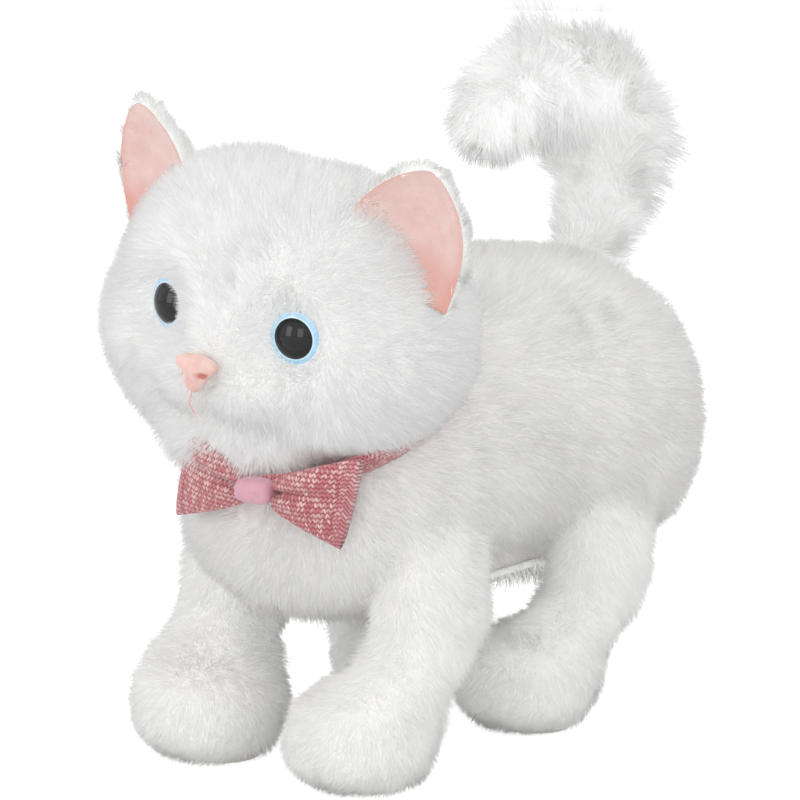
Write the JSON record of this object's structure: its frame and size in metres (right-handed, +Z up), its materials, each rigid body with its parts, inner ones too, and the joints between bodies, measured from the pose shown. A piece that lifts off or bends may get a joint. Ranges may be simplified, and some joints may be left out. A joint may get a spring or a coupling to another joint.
{
  "type": "interactive plush pet",
  "caption": "Battery-driven walking plush kitten with a furred body over a hard housing, swinging legs, turning head, wagging tail and a knitted bow.",
  "frame": {"origin": "on the floor, midway between the ends and sides of the kitten as it stands", "axes": "+Z up, -Y towards the face, +X towards the kitten's left side"},
  "size_m": [0.1316, 0.2418, 0.2286],
  "materials": {
    "fur_white": "long white pile",
    "housing_plastic": "matt",
    "dark_plastic": "matt",
    "black_plastic": "matt",
    "steel": "bright",
    "cell_wrap": "glossy wrap",
    "board_green": "satin",
    "gear_nylon": "satin",
    "brass": "bright",
    "eye_blue": "glossy dome with black pupil",
    "nose_pink": "satin",
    "washer_white": "matt",
    "ear_pink": "short velour",
    "thread_pink": "stitched thread",
    "knit_pink": "flecked knit",
    "satin_pink": "satin",
    "sole_felt": "felt"
  },
  "bodies": {
    "body": {"torso_plush": "fur_white", "housing_left": "housing_plastic", "housing_right": "housing_plastic", "housing_screws": "steel", "battery_left": "cell_wrap", "battery_middle": "cell_wrap", "battery_right": "cell_wrap", "battery_contacts": "steel", "battery_tray": "dark_plastic", "switch_body": "black_plastic", "control_board": "board_green", "speaker": "black_plastic", "motor_cradle": "dark_plastic", "motor_can": "steel", "idler_pin": "steel", "front_hip_pins": "steel", "rear_hip_pins": "steel", "neck_post": "dark_plastic", "collar_band": "knit_pink", "bow_left": "knit_pink", "bow_right": "knit_pink", "bow_knot": "satin_pink", "tail_bracket": "dark_plastic"},
    "battery_door": {"battery_cover": "housing_plastic", "cover_screw": "steel"},
    "switch": {"switch_knob": "black_plastic"},
    "motor_shaft": {"motor_pinion": "brass"},
    "idler": {"idler_gear": "gear_nylon"},
    "crank": {"crank_gear": "gear_nylon", "crank_axle": "steel", "crank_discs": "gear_nylon"},
    "front_left": {"front_left_frame": "dark_plastic", "front_left_leg": "fur_white", "front_left_sole": "sole_felt"},
    "front_right": {"front_right_frame": "dark_plastic", "front_right_leg": "fur_white", "front_right_sole": "sole_felt"},
    "rear_left": {"rear_left_frame": "dark_plastic", "rear_left_leg": "fur_white", "rear_left_sole": "sole_felt"},
    "rear_right": {"rear_right_frame": "dark_plastic", "rear_right_leg": "fur_white", "rear_right_sole": "sole_felt"},
    "link_left": {"left_link": "dark_plastic"},
    "link_right": {"right_link": "dark_plastic"},
    "neck": {"neck_yoke": "dark_plastic"},
    "head": {"head_frame": "dark_plastic", "head_plush": "fur_white", "eye_left": "eye_blue", "eye_right": "eye_blue", "eye_washers": "washer_white", "nose": "nose_pink", "nose_washer": "washer_white", "mouth_thread": "thread_pink", "ear_left_back": "fur_white", "ear_left_lining": "ear_pink", "ear_right_back": "fur_white", "ear_right_lining": "ear_pink"},
    "tail": {"tail_plush": "fur_white", "tail_core": "dark_plastic"}
  },
  "joints": [
    {"name": "battery_cover_lift", "type": "slide", "parent": "body", "child": "battery_door", "axis": [0, 0, -1], "range_m": [0, 0.006]},
    {"name": "power_switch", "type": "slide", "parent": "body", "child": "switch", "axis": [1, 0, 0], "range_m": [0, 0.004]},
    {"name": "crank_turn", "type": "hinge", "parent": "body", "child": "crank", "pos_m": [-0.0037, 0.04346, 0.087], "axis": [1, 0, 0], "continuous": true},
    {"name": "idler_turn", "type": "hinge", "parent": "body", "child": "idler", "pos_m": [-0.0037, 0.02455, 0.09033], "axis": [1, 0, 0], "continuous": true},
    {"name": "motor_turn", "type": "hinge", "parent": "body", "child": "motor_shaft", "pos_m": [-0.0037, 0.00643, 0.08714], "axis": [1, 0, 0], "continuous": true},
    {"name": "rear_left_swing", "type": "hinge", "parent": "body", "child": "rear_left", "pos_m": [0.0293, 0.04346, 0.075], "axis": [1, 0, 0], "range_deg": [-9.5, 9.5]},
    {"name": "rear_right_swing", "type": "hinge", "parent": "body", "child": "rear_right", "pos_m": [-0.0367, 0.04346, 0.075], "axis": [1, 0, 0], "range_deg": [-9.5, 9.5]},
    {"name": "front_left_swing", "type": "hinge", "parent": "body", "child": "front_left", "pos_m": [0.0293, -0.05254, 0.072], "axis": [1, 0, 0], "range_deg": [-9.5, 9.5]},
    {"name": "front_right_swing", "type": "hinge", "parent": "body", "child": "front_right", "pos_m": [-0.0367, -0.05254, 0.072], "axis": [1, 0, 0], "range_deg": [-9.5, 9.5]},
    {"name": "left_link_pivot", "type": "hinge", "parent": "rear_left", "child": "link_left", "pos_m": [0.023, 0.04346, 0.0955], "axis": [1, 0, 0], "range_deg": [-9.5, 9.5]},
    {"name": "right_link_pivot", "type": "hinge", "parent": "rear_right", "child": "link_right", "pos_m": [-0.0304, 0.04346, 0.0955], "axis": [1, 0, 0], "range_deg": [-9.5, 9.5]},
    {"name": "neck_turn", "type": "hinge", "parent": "body", "child": "neck", "pos_m": [-0.0037, -0.07454, 0.142], "axis": [0, 0, 1], "range_deg": [-12, 12]},
    {"name": "head_nod", "type": "hinge", "parent": "neck", "child": "head", "pos_m": [-0.0037, -0.07454, 0.142], "axis": [1, 0, 0], "range_deg": [-7, 7]},
    {"name": "tail_wag", "type": "hinge", "parent": "body", "child": "tail", "pos_m": [-0.0037, 0.08246, 0.14], "axis": [0, 1, 0], "range_deg": [-14, 14]}
  ],
  "couplings": [
    {"joint": "idler_turn", "follows": "crank_turn", "ratio": -3},
    {"joint": "motor_turn", "follows": "crank_turn", "ratio": 10.8},
    {"joint": "rear_right_swing", "follows": "rear_left_swing", "ratio": -1},
    {"joint": "front_left_swing", "follows": "rear_left_swing", "ratio": 1},
    {"joint": "front_right_swing", "follows": "rear_left_swing", "ratio": -1},
    {"joint": "left_link_pivot", "follows": "rear_left_swing", "ratio": -1},
    {"joint": "right_link_pivot", "follows": "rear_left_swing", "ratio": 1}
  ]
}
